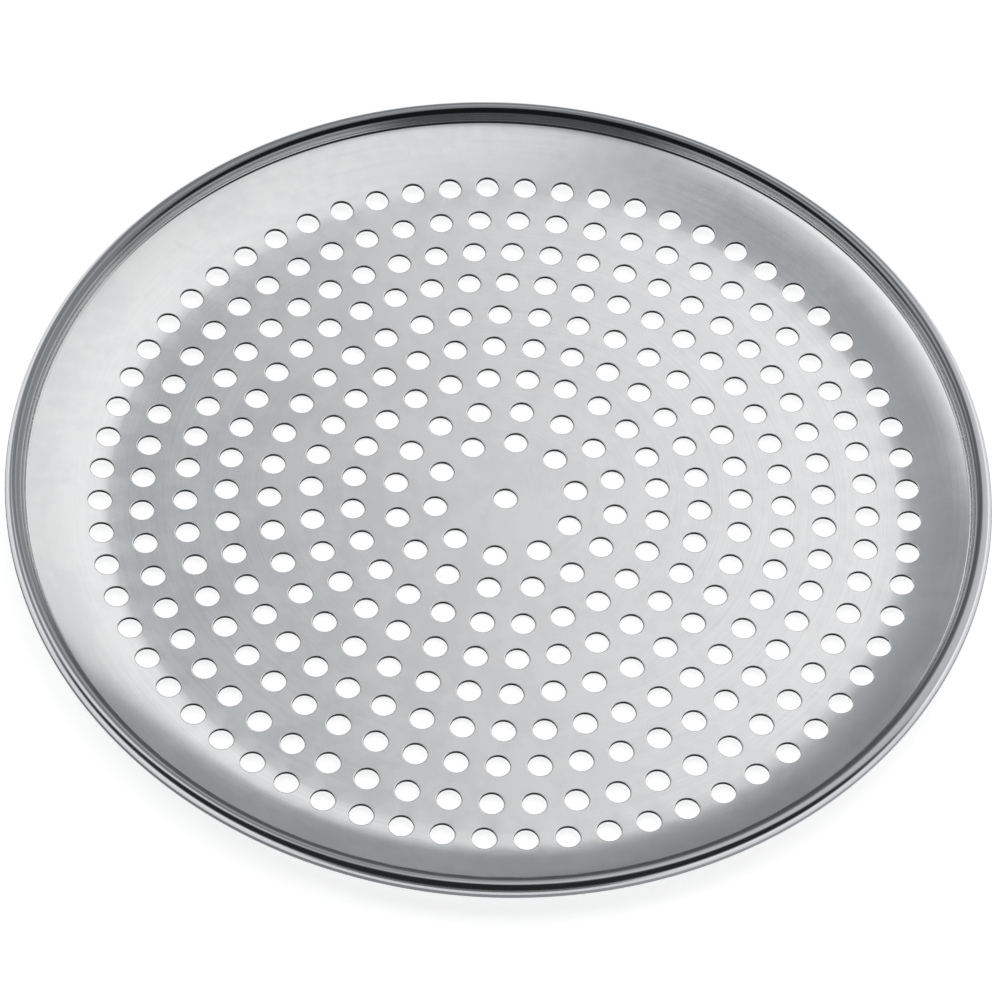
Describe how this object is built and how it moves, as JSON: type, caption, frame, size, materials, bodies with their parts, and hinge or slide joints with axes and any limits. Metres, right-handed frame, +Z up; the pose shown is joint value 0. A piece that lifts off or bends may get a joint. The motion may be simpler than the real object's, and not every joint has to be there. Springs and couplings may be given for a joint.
{
  "type": "pizza pan",
  "caption": "Round perforated aluminium pizza pan with a low wall and a rolled rim stiffened by a steel rod.",
  "frame": {"origin": "middle of the flat underside, on the axis of the round rim", "axes": "+Z up out of the pan, +X to the right and +Y away from the viewer as in the picture"},
  "size_m": [0.33, 0.33, 0.0127],
  "materials": {
    "pan_aluminium": "satin spun aluminium, fine rings round the middle",
    "rod_steel": "plain drawn steel"
  },
  "bodies": {
    "root": {"perforated_pan": "pan_aluminium", "rim_rod": "rod_steel"}
  },
  "joints": []
}
